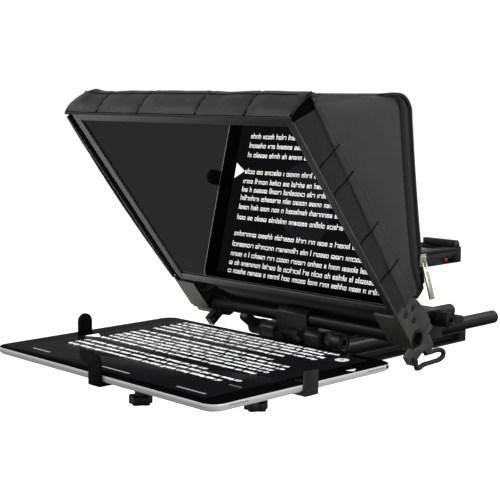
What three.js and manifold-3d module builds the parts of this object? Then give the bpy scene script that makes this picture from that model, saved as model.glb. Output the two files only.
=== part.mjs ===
// Teleprompter for a large tablet, on two 15 mm rods.
// Millimetres, +X to the reader's right, +Y towards the video camera, +Z up.
// The origin is the middle of the base plate's underside, where a tripod plate bolts on.

import * as THREE from 'three';
import { mergeVertices } from 'three/addons/utils/BufferGeometryUtils.js';
import Module from 'manifold-3d';

const wasm = await Module();
wasm.setup();

// ---------- driving dimensions ----------

const GAP = 0.3;                       // clearance between touching pieces

const TABLET = { width: 305.7, depth: 220.6, thick: 6.9, corner: 13, x: -7, front: -364, top: 36 };
const TABLET_BACK = TABLET.front + TABLET.depth;
const TABLET_MID = TABLET.front + TABLET.depth / 2;
const TABLET_UNDER = TABLET.top - TABLET.thick;
const PANEL = { inset: 1.2, thick: 0.9 };

const ROD = { radius: 7.5, x: 30, z: 20.7, front: -238.5, rear: 181.5 };
const ROD_BORE = ROD.radius + GAP;
const BASE = { half: 30.5, front: -128, rear: 128, top: 12.9 };

const FRAME = { width: 293, height: 223, depth: 12, rail: 8.5, foot: [-142.7, 78.4], lean: 38.3 };
const GLASS = { thick: 3, from: 1.8 };
const TUBE = { radius: 7.2, bore: 5.8, half: 150, up: -36, back: 6 };

const JAW = { x0: 20.8, x1: 39.5, depth: 27, top: 45 };
const LEVER = { z: 36.7, hubRadius: 8.2, hubFrom: 39.8, hubTo: 62, reach: 25.5 };
const REAR_CLAMP_Y = 56;

const PLATFORM = { half: 36, front: -3, rear: 107, bottom: 91.8, top: 108.8 };
const BUTTON = [77.3, 96.8];            // safety button, across the platform's right side: y, z
const LOCK_PIVOT = [31, 100];          // lock lever's pin: x, y
const LENS = { z: 166, radius: 50 };

const HOOD = { inner: 146.8, outer: 149.4, band: 25.5, roof: 275, cloth: 2.2 };
const HOOD_REAR = { top: [-134, 252], bottom: [-109.5, 99], cornerRadius: 19 };

const TRAY = { y: -256, z0: 19, z1: 25.6, half: 20, clampFront: -206, clampRear: -178 };
const ARM = { half: 8, z0: 25.9, z1: 28.8, post: 3 };
const KNOB = { radius: 11, z0: 1.5, height: 7.5, lobes: 5, stud: 2.6 };

const DEG = Math.PI / 180;
const LEAN = FRAME.lean * DEG;

// ---------- finishes ----------

const finish = (color, roughness, metalness) =>
  () => new THREE.MeshStandardMaterial({ color, roughness, metalness });
const anodised = finish(0x2b2c2d, 0.45, 0.75);
const paintedSteel = finish(0x3b3c3b, 0.5, 0.6);
const blackPlastic = finish(0x141414, 0.45, 0);
const rubber = finish(0x101010, 0.8, 0);
const steel = finish(0x55565a, 0.35, 0.9);
const nylon = finish(0x1a1a1b, 0.9, 0);
const leatherette = finish(0x262627, 0.6, 0);
const zipMetal = finish(0xc9c7b8, 0.3, 0.9);
const mirrorGlass = finish(0x0c0d10, 0.03, 0);
const silver = finish(0xb9bbbd, 0.35, 0.9);
const screenGlass = finish(0x050506, 0.05, 0);
const redPlastic = finish(0xb5121c, 0.35, 0);

// ---------- shape helpers ----------

function box(x0, x1, y0, y1, z0, z1) {
  const geometry = new THREE.BoxGeometry(x1 - x0, y1 - y0, z1 - z0);
  return geometry.translate((x0 + x1) / 2, (y0 + y1) / 2, (z0 + z1) / 2);
}

// A cylinder along 'x', 'y' or 'z' from a to b, with its axis at the two other coordinates.
function rod(axis, radius, a, b, p, q, sides = 24, radiusB = radius) {
  const geometry = new THREE.CylinderGeometry(radiusB, radius, b - a, sides);
  const middle = (a + b) / 2;
  if (axis === 'x') return geometry.rotateZ(-Math.PI / 2).translate(middle, p, q);
  if (axis === 'y') return geometry.translate(p, middle, q);
  return geometry.rotateX(Math.PI / 2).translate(p, q, middle);
}

// A flat outline of [y, z] points made thick from x0 to x1.
function slab(points, x0, x1) {
  const outline = new THREE.Shape(points.map(([y, z]) => new THREE.Vector2(y, z)));
  const geometry = new THREE.ExtrudeGeometry(outline, { depth: x1 - x0, bevelEnabled: false });
  return standUp(geometry).translate(x0, 0, 0);
}

// Turns an extrusion's own axes so that its outline lies in Y and Z and its depth runs along +X.
function standUp(geometry) {
  const turn = new THREE.Matrix4().makeBasis(
    new THREE.Vector3(0, 1, 0), new THREE.Vector3(0, 0, 1), new THREE.Vector3(1, 0, 0));
  return geometry.applyMatrix4(turn);
}

// Points on an arc about a centre, angles in degrees.
function arc([cy, cz], radius, from, to, steps) {
  const points = [];
  for (let i = 0; i <= steps; i++) {
    const angle = (from + (to - from) * i / steps) * DEG;
    points.push([cy + radius * Math.cos(angle), cz + radius * Math.sin(angle)]);
  }
  return points;
}

function roundedPlate(x0, x1, y0, y1, z0, z1, radius) {
  const shape = new THREE.Shape();
  shape.absarc(x1 - radius, y1 - radius, radius, 0, Math.PI / 2);
  shape.absarc(x0 + radius, y1 - radius, radius, Math.PI / 2, Math.PI);
  shape.absarc(x0 + radius, y0 + radius, radius, Math.PI, 1.5 * Math.PI);
  shape.absarc(x1 - radius, y0 + radius, radius, 1.5 * Math.PI, 2 * Math.PI);
  const options = { depth: z1 - z0, bevelEnabled: false, curveSegments: 5 };
  return new THREE.ExtrudeGeometry(shape, options).translate(0, 0, z0);
}

function solid(geometry) {
  const plain = geometry.clone();
  plain.deleteAttribute('normal');
  plain.deleteAttribute('uv');
  const merged = mergeVertices(plain, 1e-4);
  return new wasm.Manifold(new wasm.Mesh({
    numProp: 3,
    vertProperties: new Float32Array(merged.attributes.position.array),
    triVerts: new Uint32Array(merged.index.array),
  }));
}

function surface(manifold) {
  const mesh = manifold.getMesh();
  const geometry = new THREE.BufferGeometry();
  geometry.setAttribute('position', new THREE.BufferAttribute(new Float32Array(mesh.vertProperties), 3));
  geometry.setIndex(new THREE.BufferAttribute(new Uint32Array(mesh.triVerts), 1));
  geometry.computeVertexNormals();
  return geometry;
}

const cut = (body, ...tools) => surface(
  tools.map(solid).reduce((whole, tool) => whole.subtract(tool), solid(body)));
const join = (...pieces) => surface(pieces.map(solid).reduce((whole, piece) => whole.add(piece)));
const mirrored = (geometry) => surface(solid(geometry).mirror([1, 0, 0]));

const model = new THREE.Group();

function add(name, geometry, makeMaterial, parent = model) {
  const mesh = new THREE.Mesh(geometry, makeMaterial());
  mesh.name = name;
  parent.add(mesh);
  return mesh;
}

// Adds a right-hand piece and its mirror image as the left-hand one.
function addPair(name, geometry, makeMaterial, parent = model) {
  add(`${name}_right`, geometry, makeMaterial, parent);
  add(`${name}_left`, mirrored(geometry), makeMaterial, parent);
}

// ---------- base plate and rods ----------

function basePlate() {
  const pocket = { front: BASE.front + 12, rear: BASE.rear - 11, z0: 2.6, z1: 10.4, deep: 13 };
  const side = (sign) => {
    const x = sign * (BASE.half - pocket.deep / 2 + 1);
    return box(x - pocket.deep / 2, x + pocket.deep / 2, pocket.front, pocket.rear, pocket.z0, pocket.z1);
  };
  const tripodHoles = [-60, 40, 60].map((y) => rod('z', 3.1, -1, BASE.top + 1, 0, y, 20));
  const plate = box(-BASE.half, BASE.half, BASE.front, BASE.rear, 0, BASE.top);
  return cut(plate, side(1), side(-1), ...tripodHoles);
}

function supportRod() {
  const chamfer = 1;
  const profile = [
    [0, ROD.front], [ROD.radius - chamfer, ROD.front], [ROD.radius, ROD.front + chamfer],
    [ROD.radius, ROD.rear - chamfer], [ROD.radius - chamfer, ROD.rear], [0, ROD.rear],
  ].map(([r, y]) => new THREE.Vector2(r, y));
  return new THREE.LatheGeometry(profile, 32).translate(ROD.x, 0, ROD.z);
}

add('base_plate', basePlate(), anodised);
addPair('rod', supportRod(), anodised);

// ---------- rod clamps and their ratchet levers ----------

const rodBore = (x) => rod('y', ROD_BORE, -400, 400, x, ROD.z);

// [y, z] of a point given by how far it is behind the glass's front and up along it.
const toWorld = ([back, up]) => [
  FRAME.foot[0] - up * Math.sin(LEAN) + back * Math.cos(LEAN),
  FRAME.foot[1] + up * Math.cos(LEAN) + back * Math.sin(LEAN),
];
const [TUBE_Y, TUBE_Z] = toWorld([TUBE.back, TUBE.up]);

// A block's side view, with its two top corners bevelled.
const bevelledBlock = (y0, y1, z0, z1, bevel) =>
  [[y0, z0], [y1, z0], [y1, z1 - bevel], [y1 - bevel, z1], [y0 + bevel, z1], [y0, z1 - bevel]];

// The right jaw of a clamp: it grips one rod, and its lever's screw closes the slot above the rod.
function jaw(y, x0) {
  const y0 = y - JAW.depth / 2;
  const y1 = y + JAW.depth / 2;
  const floor = BASE.top + GAP;
  const bevel = 4;
  const slot = box(ROD.x, JAW.x1 + 1, y0 - 1, y1 + 1, ROD.z + 8.6, ROD.z + 10.2);
  const block = slab(bevelledBlock(y0, y1, floor, JAW.top, bevel), x0, JAW.x1);
  return cut(block, rodBore(ROD.x), slot, rod('x', 3.3, x0 + 9, JAW.x1 + 1, y, LEVER.z, 20));
}

const BLOCK_FRONT = TUBE_Y - 9.5;
const BLOCK_LEVER = { x: 16, z: LEVER.z - 1 };

// The block is low and round-shouldered, so that the hood's slack underside tilts past it.
function tubeBlock() {
  const y0 = BLOCK_FRONT;
  const y1 = TUBE_Y + 9.5;
  const bevel = 5;
  const top = TUBE_Z + 9.8;
  const half = JAW.x0 - GAP;
  const splitSlot = box(-half - 1, half + 1, TUBE_Y, y1 + 1, TUBE_Z - 0.8, TUBE_Z + 0.8);
  const block = slab(bevelledBlock(y0, y1, BASE.top + GAP, top, bevel), -half, half);
  return cut(block, rod('x', TUBE.radius + GAP, -60, 60, TUBE_Y, TUBE_Z), splitSlot,
    rod('y', 2.6, y0 - 1, y0 + 1.7, BLOCK_LEVER.x, BLOCK_LEVER.z, 20));
}

// A ratchet lever on its screw: ribbed hub, rounded handle, hex socket in the end.
function ratchetLever(y, handleAngle) {
  const { z, hubRadius, hubFrom, hubTo, reach } = LEVER;
  const collar = rod('x', hubRadius - 1.2, hubFrom, hubFrom + 3.2, y, z);
  const hub = rod('x', hubRadius, hubFrom + 3, hubTo, y, z);
  const stud = rod('x', 3, hubFrom - 8, hubFrom + 1, y, z, 16);
  const tip = y + reach - 4.5;
  const handle = join(
    slab([[y, z - 5], [tip, z - 4.2], [tip, z + 4.2], [y, z + 5]], hubTo - 11, hubTo - 1.5),
    rod('x', 4.2, hubTo - 11, hubTo - 1.5, tip, z, 16));
  turnAboutX(handle, y, z, handleAngle);
  const socket = rod('x', 3.4, hubTo - 5, hubTo + 1, y, z, 6);
  const ring = cut(rod('x', 7, hubTo - 1, hubTo + 1, y, z), rod('x', 5.6, hubTo - 2, hubTo + 2, y, z));
  return cut(join(collar, hub, stud, handle), socket, ring);
}

function turnAboutX(geometry, y, z, degrees) {
  return geometry.translate(0, -y, -z).rotateX(degrees * DEG).translate(0, y, z);
}

// The flat lever on the front of the tube block, which pinches the block on the tube.
function blockLever() {
  const y1 = BLOCK_FRONT - GAP;
  const { x, z } = BLOCK_LEVER;
  const paddle = box(x - 20, x, y1 - 8.5, y1 - 4.7, z - 4.5, z + 8);
  return join(paddle, rod('y', 4.4, y1 - 9.5, y1, x, z, 24), rod('y', 2.3, y1 - 1, y1 + 1.6, x, z, 20));
}

addPair('front_rod_jaw', jaw(TUBE_Y, JAW.x0), anodised);
add('tube_block', tubeBlock(), anodised);
add('tube_block_lever', blockLever(), blackPlastic);
add('front_lever_right', ratchetLever(TUBE_Y, -100), blackPlastic);
add('front_lever_left', mirrored(ratchetLever(TUBE_Y, 146)), blackPlastic);

function crossTube() {
  return cut(rod('x', TUBE.radius, -TUBE.half, TUBE.half, TUBE_Y, TUBE_Z, 32),
    rod('x', TUBE.bore, -TUBE.half - 1, TUBE.half + 1, TUBE_Y, TUBE_Z, 32));
}
add('cross_tube', crossTube(), anodised);

// ---------- tray that holds the tablet, on the front of the rods ----------

function trayClamp() {
  const block = box(-JAW.x1, JAW.x1, TRAY.clampFront, TRAY.clampRear, 11, 27.4);
  const armWay = box(-ARM.half - 0.6, ARM.half + 0.6, -220, -160, TRAY.z1, 31);
  return cut(block, rodBore(ROD.x), rodBore(-ROD.x), armWay,
    rod('z', KNOB.stud + GAP, 10, 31, 0, -192, 20));
}

function trayPlate() {
  const rear = TRAY.clampFront - GAP;
  const long = roundedPlate(-TRAY.half, TRAY.half, -336, rear, TRAY.z0, TRAY.z1, 3);
  const wide = roundedPlate(-104, 104, TRAY.y - 14, TRAY.y + 14, TRAY.z0, TRAY.z1, 3);
  const studs = [[0, -316], [84, TRAY.y], [-84, TRAY.y]];
  return cut(join(long, wide), ...studs.map(([x, y]) => rod('z', KNOB.stud + GAP, 10, 31, x, y, 20)));
}

// A slotted bar under the tablet with an upright post at its outer end, drawn pointing to +X.
function clampArm(reach, inner, slotFrom, slotTo, postTop, rounded) {
  const half = ARM.half;
  const bar = box(inner, reach + ARM.post, -half, half, ARM.z0, ARM.z1);
  const post = rounded
    ? join(box(reach, reach + ARM.post, -half, half, ARM.z0, postTop - half),
      rod('x', half, reach, reach + ARM.post, 0, postTop - half, 28))
    : box(reach, reach + ARM.post, -half, half, ARM.z0, postTop);
  const slotHalf = KNOB.stud + GAP;
  const slot = join(box(slotFrom, slotTo, -slotHalf, slotHalf, 20, 31),
    rod('z', slotHalf, 20, 31, slotFrom, 0, 16), rod('z', slotHalf, 20, 31, slotTo, 0, 16));
  return cut(join(bar, post), slot);
}

// A lobed thumb knob on a stud that clamps one arm to the tray.
function thumbKnob(x, y) {
  const lobes = new THREE.Shape();
  const steps = 8 * KNOB.lobes;
  const swell = 1.3;
  for (let i = 0; i < steps; i++) {
    const angle = 2 * Math.PI * i / steps;
    const r = KNOB.radius - swell + swell * Math.cos(KNOB.lobes * angle);
    const point = [r * Math.cos(angle), r * Math.sin(angle)];
    if (i === 0) lobes.moveTo(...point);
    else lobes.lineTo(...point);
  }
  const head = new THREE.ExtrudeGeometry(lobes, { depth: KNOB.height, bevelEnabled: false });
  head.translate(0, 0, KNOB.z0);
  const neckTop = y > TRAY.clampFront ? 10.7 : TRAY.z0 - GAP;
  const neck = rod('z', 5.4, KNOB.z0 + 7, neckTop, 0, 0, 20);
  const stud = rod('z', KNOB.stud, KNOB.z0 + 7, ARM.z1 - 0.2, 0, 0, 16);
  return join(head, neck, stud).translate(x, y, 0);
}

add('tray_clamp', trayClamp(), anodised);
add('tray_plate', trayPlate(), anodised);

const sideReach = TABLET.width / 2 + GAP;
const ARMS = [
  { name: 'right', turn: 0, reach: sideReach + TABLET.x, top: 46.5, rounded: false, knob: [84, TRAY.y] },
  { name: 'left', turn: 180, reach: sideReach - TABLET.x, top: 53, rounded: true, knob: [-84, TRAY.y] },
  { name: 'front', turn: -90, reach: TRAY.y - TABLET.front + GAP, top: 53.5, rounded: true, knob: [0, -316] },
  { name: 'back', turn: 90, reach: TABLET_BACK + GAP - TRAY.y, top: 43, rounded: true, knob: [0, -192] },
];
for (const arm of ARMS) {
  const knobAt = Math.hypot(arm.knob[0], arm.knob[1] - TRAY.y);
  const inner = Math.min(knobAt - 34, 50);
  const geometry = clampArm(arm.reach, inner, knobAt - 30, knobAt + 3, arm.top, arm.rounded);
  geometry.rotateZ(arm.turn * DEG).translate(0, TRAY.y, 0);
  add(`${arm.name}_arm`, geometry, blackPlastic);
  add(`${arm.name}_knob`, thumbKnob(...arm.knob), blackPlastic);
}

// ---------- tablet ----------

// The tablet's rounded outline, drawn in from its edge by inset.
function tabletOutline(inset, z0, z1) {
  const { x, width, corner, front } = TABLET;
  const half = width / 2 - inset;
  return roundedPlate(x - half, x + half, front + inset, TABLET_BACK - inset, z0, z1, corner - inset);
}

function tabletShell() {
  const belly = tabletOutline(2.6, TABLET_UNDER, TABLET_UNDER + 1.6);
  const curve = tabletOutline(0.5, TABLET_UNDER + 1.6, TABLET_UNDER + 3.6);
  const edge = tabletOutline(0, TABLET_UNDER + 3.6, TABLET.top - 0.6);
  const well = tabletOutline(PANEL.inset - 0.5, TABLET.top - PANEL.thick - GAP, TABLET.top + 1);
  return cut(join(belly, curve, edge), well);
}

function tabletPanel() {
  const panel = tabletOutline(PANEL.inset, TABLET.top - PANEL.thick, TABLET.top);
  return cut(panel, rod('z', 5.7, TABLET_UNDER, TABLET.top + 1, ...homeCentre(), 32));
}

function homeCentre() {
  return [TABLET.x + TABLET.width / 2 - 10.5, TABLET_MID];
}

add('tablet_shell', tabletShell(), silver);
add('tablet_panel', tabletPanel(), screenGlass);
const homeButton = rod('z', 5.4, TABLET.top - PANEL.thick, TABLET.top - 0.1, ...homeCentre(), 32);
add('home_button', homeButton, screenGlass);

// ---------- beam splitter frame, which leans forward over the tablet ----------
// In this group x is across, y runs back from the glass's front face and z runs up the glass.

const mirror = new THREE.Group();
mirror.position.set(0, FRAME.foot[0], FRAME.foot[1]);
mirror.rotation.x = LEAN;
model.add(mirror);

const HALF = FRAME.width / 2;
const RAIL_FOOT = 12;                  // each upright runs on below the frame into its bracket
const SCREWS = [[18, -8], [6.6, -5.5], [12.6, -18]];

const GROOVE = [GLASS.from - GAP, GLASS.from + GLASS.thick + GAP];

// An upright with a groove for the glass and a hole for a bracket screw.
function uprightRail() {
  const rail = box(HALF - FRAME.rail, HALF, 0, FRAME.depth, -RAIL_FOOT, FRAME.height);
  const groove = box(HALF - FRAME.rail - 1, HALF - 5, ...GROOVE, 4.5, FRAME.height - 4.5);
  return cut(rail, groove, rod('x', 1.9, HALF - 7, HALF + 1, ...SCREWS[1], 16));
}

function crossRail(z0) {
  const inner = HALF - FRAME.rail - GAP;
  const rail = box(-inner, inner, 0, FRAME.depth, z0, z0 + FRAME.rail);
  const towardsMiddle = z0 < FRAME.height / 2 ? [z0 + 5, z0 + FRAME.rail + 1] : [z0 - 1, z0 + FRAME.rail - 5];
  return cut(rail, box(-inner - 1, inner + 1, ...GROOVE, ...towardsMiddle));
}

addPair('frame_rail', uprightRail(), anodised, mirror);
add('frame_rail_bottom', crossRail(0), anodised, mirror);
add('frame_rail_top', crossRail(FRAME.height - FRAME.rail), anodised, mirror);
const pane = box(-HALF + 5.3, HALF - 5.3, GLASS.from, GLASS.from + GLASS.thick, 5.3, FRAME.height - 5.3);
add('beam_splitter', pane, mirrorGlass, mirror);

// ---------- side brackets, which clamp the frame's foot to the cross tube ----------

const PLATE = { x0: HALF + GAP, x1: HALF + 3.3 };
const FLANGE = { x0: 122, y0: -3.4, y1: -0.4 };
const SLIT = TUBE.up - 1.1;            // top of the cap; the bracket ends 1.2 mm above it
const BRACKET_LOW = SLIT + 1.2;

function bracket() {
  const outline = [[-3.4, 5], [12.5, 5.5], [25.5, -2], [29.6, -20.5], [29.2, BRACKET_LOW],
    [-3.4, BRACKET_LOW]];
  const plate = slab(outline, PLATE.x0, PLATE.x1);
  const flange = box(FLANGE.x0, PLATE.x0 + 1, FLANGE.y0, FLANGE.y1, BRACKET_LOW - 2.7, 0);
  const cheek = slab([[FLANGE.y0, BRACKET_LOW], [-0.4, -14], [9, -22], [29.2, -25], [29.2, BRACKET_LOW]],
    TUBE.half - 28, PLATE.x0 + 1);
  const lug = slab([[12.4, -3], [24, -4], [28.5, -20], [29.2, -26], [-0.4, -26], [-0.4, -RAIL_FOOT - GAP],
    [12.4, -RAIL_FOOT - GAP]], HALF - 7.5, PLATE.x0 + 1);
  const heads = SCREWS.map(([y, z]) => rod('x', 2.5, PLATE.x1 - 2, PLATE.x1 + 1, y, z, 24, 4.3));
  const shanks = SCREWS.map(([y, z]) => rod('x', 1.9, HALF - 6, PLATE.x1 + 1, y, z, 16));
  const chamfer = rod('x', TUBE.radius + GAP, PLATE.x1 - 1.4, PLATE.x1 + 0.4, TUBE.back, TUBE.up, 32, 9.2);
  return cut(join(plate, flange, cheek, lug), tubeHole(), chamfer, ...heads, ...shanks);
}

const tubeHole = () => rod('x', TUBE.radius + GAP, 60, 170, TUBE.back, TUBE.up, 32);

const CAP_OUTLINE = [[0.2, SLIT], [0.4, -48.8], [7.3, -57.3], [12, -59], [16.3, -58.8], [19.1, -56.3],
  [20.9, -46.1], [19.6, -43.2], [28, -43], [28, SLIT]];
const BAIL_PIN = [-10.5, -46.5];

// The clamp's lower half: a deep cap under the tube, with a drilled ear at its front.
function clampCap(x0, earX) {
  const bowl = slab(CAP_OUTLINE, x0, PLATE.x1);
  const ear = box(earX, earX + 7.5, -13.8, 4, -51, -40.8);
  const slots = [-4.6, -0.6].map((y) => box(earX + 6.7, earX + 8, y - 0.8, y + 0.8, -48, -43));
  return cut(join(bowl, ear), tubeHole(), rod('x', 2.3, earX - 1, earX + 9, ...BAIL_PIN, 20), ...slots);
}

const BAIL_FOOT = toWorld(BAIL_PIN);
const BAIL_ROUTE = [BAIL_FOOT, [-119.9, 27.6], [-110.4, 29.8], [-97, 30.4], [-86, 31.2], [-80.2, 34.4],
  [-81.4, 38.3], [-89.1, 40.5], [-98.9, 40.1], [-107.9, 39.8]];

// A thick bent lever that hooks round the ear's pin and pulls the cap shut.
function clampBail() {
  const route = new THREE.CatmullRomCurve3(BAIL_ROUTE.map(([y, z]) => new THREE.Vector3(0, y, z)),
    false, 'centripetal');
  const section = new THREE.Shape().absarc(0, 0, 2.3, 0, 2 * Math.PI);
  const wire = new THREE.ExtrudeGeometry(section,
    { extrudePath: route, steps: 30, curveSegments: 4, bevelEnabled: false });
  const x = PLATE.x1 + 2.7;
  return join(wire.translate(x, 0, 0), rod('x', 2, PLATE.x1 - 6, x, ...BAIL_FOOT, 12));
}

function countersunkScrew([y, z]) {
  const head = rod('x', 2, PLATE.x1 - 1.9, PLATE.x1 - 0.1, y, z, 24, 3.3);
  const shank = rod('x', 1.6, HALF - 5, PLATE.x1 - 1.5, y, z, 16);
  return cut(join(head, shank), rod('x', 1.4, PLATE.x1 - 1.5, PLATE.x1 + 1, y, z, 6));
}

addPair('bracket', bracket(), paintedSteel, mirror);
add('clamp_cap_right', clampCap(130, PLATE.x1 - 7.5), paintedSteel, mirror);
add('clamp_cap_left', mirrored(clampCap(113, 115)), paintedSteel, mirror);
SCREWS.forEach((place, i) => addPair(`bracket_screw_${i + 1}`, countersunkScrew(place), steel, mirror));
add('clamp_bail', clampBail(), rubber);

// ---------- fabric hood: plain solids of the right size, open at the front for the glass ----------

// A point on the line from a to b at height z.
const atHeight = (a, b, z) => [a[0] + (b[0] - a[0]) * (z - a[1]) / (b[1] - a[1]), z];

function hoodSide() {
  const seamFoot = toWorld([HOOD.band + GAP, -1]);
  const seamTop = atHeight(seamFoot, toWorld([HOOD.band + GAP, FRAME.height]), HOOD.roof);
  const { top, bottom, cornerRadius: r } = HOOD_REAR;
  const corner = [top[0] - r, HOOD.roof - r];
  const outline = [seamFoot, [-113, bottom[1] - 7], bottom, ...arc(corner, r, 8, 90, 8), seamTop];
  return slab(outline, HOOD.inner, HOOD.outer);
}

// The side band lies outside the frame's upright rail and in front of the side panel.
function hoodSideBand() {
  return slab([[-2.5, 6], [13, 6.5], [HOOD.band, 0], [HOOD.band, FRAME.height], [-2.5, FRAME.height]],
    HOOD.inner, HOOD.outer);
}

function hoodTopBand() {
  return box(-HOOD.outer, HOOD.outer, -2.5, HOOD.band, FRAME.height + GAP, FRAME.height + 5);
}

const ROOF_LOW = HOOD.roof - HOOD.cloth;
const inside = HOOD.inner - GAP;

function hoodRoof() {
  const front = toWorld([HOOD.band + GAP, FRAME.height + 5]);
  const rear = HOOD_REAR.top[0] - HOOD_REAR.cornerRadius;
  return box(-inside, inside, front[0] + 3, rear, ROOF_LOW, HOOD.roof);
}

// The rear panel curves over into the roof and has a round opening for the lens.
function hoodRear() {
  const { top, bottom, cornerRadius: r } = HOOD_REAR;
  const corner = [top[0] - r, HOOD.roof - r];
  const outer = arc(corner, r, 8, 90, 8);
  const inner = arc(corner, r - HOOD.cloth, 90, 8, 8);
  outer[outer.length - 1][0] += GAP;
  inner[0][0] += GAP;
  const sheet = slab([bottom, ...outer, ...inner, [bottom[0] - HOOD.cloth, bottom[1]]], -inside, inside);
  return cut(sheet, rod('y', LENS.radius, -170, -90, 0, LENS.z, 48));
}

// The hood's underside: level cloth at each end, and a slack belly that hangs to the cross tube between.
const BELLY = { half: 112.4, wall: 2.2 };

function hoodFloor() {
  const [y0, z0] = toWorld([FRAME.depth + 3, 1]);
  const y1 = HOOD_REAR.bottom[0] - 0.5;
  const z1 = HOOD_REAR.bottom[1] - GAP;
  const level = slab([[y0, z0], [y0, z0 - HOOD.cloth], [y1, z1 - HOOD.cloth], [y1, z1]], -inside, inside);
  const outer = [[y0, z0 - 0.5], [-127, 76], [-121.5, 69.5], [-115, 67], [-108.5, 64], [-104, 60.5],
    [-101.5, 62], [-101.8, 70], [-105, 84], [y1, z1 - 0.5]];
  const inner = [[-130.4, z0 + 3], [-125.2, 77.2], [-120.4, 71.5], [-114.4, 69.1], [-107.5, 66],
    [-104.2, 63.3], [-103.6, 63.5], [-103.9, 69.6], [-107.1, 83.3], [-112.9, z1 + 3]];
  const bag = slab(outer, -BELLY.half, BELLY.half);
  const room = slab(inner, -BELLY.half + BELLY.wall, BELLY.half - BELLY.wall);
  return cut(join(level, bag), room);
}

// An elastic cuff stands out round the lens opening.
function lensCuff() {
  const y = -125.5;
  return cut(rod('y', LENS.radius - GAP, y, y + 22, 0, LENS.z, 48, LENS.radius - 7),
    rod('y', LENS.radius - 2.5, y - 0.1, y + 22.1, 0, LENS.z, 48, LENS.radius - 9.5));
}

addPair('hood_side', hoodSide(), leatherette);
addPair('hood_side_band', hoodSideBand(), nylon, mirror);
add('hood_top_band', hoodTopBand(), leatherette, mirror);
add('hood_roof', hoodRoof(), leatherette);
add('hood_rear', hoodRear(), nylon);
add('hood_floor', hoodFloor(), nylon);
add('lens_cuff', lensCuff(), nylon);

// ---------- zip down the rear edge of the right side ----------

const ZIP = { x0: HOOD.outer + GAP, x1: HOOD.outer + 1.6, wide: 7, z0: 112, z1: 250 };
const rearEdgeAt = (z) => atHeight(HOOD_REAR.bottom, HOOD_REAR.top, z)[0];

function zipTape() {
  const y0 = rearEdgeAt(ZIP.z0) + 2.5;
  const y1 = rearEdgeAt(ZIP.z1) + 2.5;
  return slab([[y0, ZIP.z0], [y1, ZIP.z1], [y1 - ZIP.wide, ZIP.z1], [y0 - ZIP.wide, ZIP.z0]], ZIP.x0, ZIP.x1);
}

const SLIDER = { z: 126, length: 11, half: 4, thick: 3 };

function zipSlider() {
  const x = ZIP.x1 + GAP;
  const y = rearEdgeAt(SLIDER.z) + 2.5 - ZIP.wide / 2;
  const reach = SLIDER.length / 2;
  const body = box(x, x + 1.8, y - SLIDER.half, y + SLIDER.half, SLIDER.z - reach, SLIDER.z + reach);
  const loop = box(x + 1.7, x + SLIDER.thick + 1, y - 1.2, y + 1.2, SLIDER.z - 4, SLIDER.z + 4);
  return cut(join(body, loop), rod('y', 1.1, y - 3, y + 3, x + 2.6, SLIDER.z - 1.6, 16));
}

const PULL_LEAN = 17;                  // the hanging pull is pushed outwards by the swell of the cloth

function zipPull() {
  const x = ZIP.x1 + GAP + 2.6;
  const y = rearEdgeAt(SLIDER.z) + 2.5 - ZIP.wide / 2;
  const top = SLIDER.z - 1.6;
  const pin = rod('y', 0.8, y - 3.2, y + 3.2, x, top, 12);
  const cheek = (sign) => rod('z', 0.8, top - 10, top, x, y + sign * 2.4, 8);
  const tab = box(x - 0.8, x + 0.8, y - 3.2, y + 3.2, top - 34, top - 9);
  const pull = join(pin, cheek(1), cheek(-1), tab);
  return pull.translate(-x, 0, -top).rotateY(-PULL_LEAN * DEG).translate(x, 0, top);
}

add('zip_tape', zipTape(), nylon);
add('zip_slider', zipSlider(), zipMetal);
add('zip_pull', zipPull(), zipMetal);

// ---------- camera support: rear rod clamp, riser, quick-release platform ----------

function rearClamp() {
  const block = box(-JAW.x1, JAW.x1, REAR_CLAMP_Y - 15, REAR_CLAMP_Y + 15, BASE.top + GAP, JAW.top);
  const slots = [ROD.x, -JAW.x1 - 1].map((x) => box(x, x + JAW.x1 + 1 - ROD.x,
    REAR_CLAMP_Y - 16, REAR_CLAMP_Y + 16, ROD.z + 8.6, ROD.z + 10.2));
  const screwHoles = [29, -JAW.x1 - 1].map((x) => rod('x', 3.3, x, x + JAW.x1 - 28, REAR_CLAMP_Y, LEVER.z));
  return cut(block, rodBore(ROD.x), rodBore(-ROD.x), ...slots, ...screwHoles);
}

function riser() {
  const rear = REAR_CLAMP_Y - 15 - GAP;
  const top = PLATFORM.bottom - GAP;
  const outline = [[8, 30], [rear, 30], [rear, top], [4, top], [4, top - 7.7], [8, 76]];
  const windows = [1, -1].map((s) => box(s > 0 ? 5 : -18, s > 0 ? 18 : -5, 0, 50, 40, 78));
  return cut(slab(outline, -24, 24), ...windows);
}

// A channel whose side rails hold the sliding plate by a lip on each side.
function platformBody() {
  const { half, front, rear, bottom, top } = PLATFORM;
  const body = box(-half, half, front, rear, bottom, top);
  const channel = box(-25.5, 25.5, front - 1, rear - 6, bottom + 7.5, top + 1);
  const undercut = box(-27.5, 27.5, front - 1, rear - 6, bottom + 7.5, bottom + 11.6);
  const grooves = [half, -half].map((x) => box(x - 1, x + 1, front - 1, rear - 8, top - 4.6, top - 3.8));
  const buttonHole = rod('x', 2.6, 29, half + 1, ...BUTTON, 24);
  const pivotHole = rod('z', 2.2, top - 8, top + 1, ...LOCK_PIVOT, 20);
  return cut(body, channel, undercut, ...grooves, buttonHole, pivotHole);
}

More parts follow.
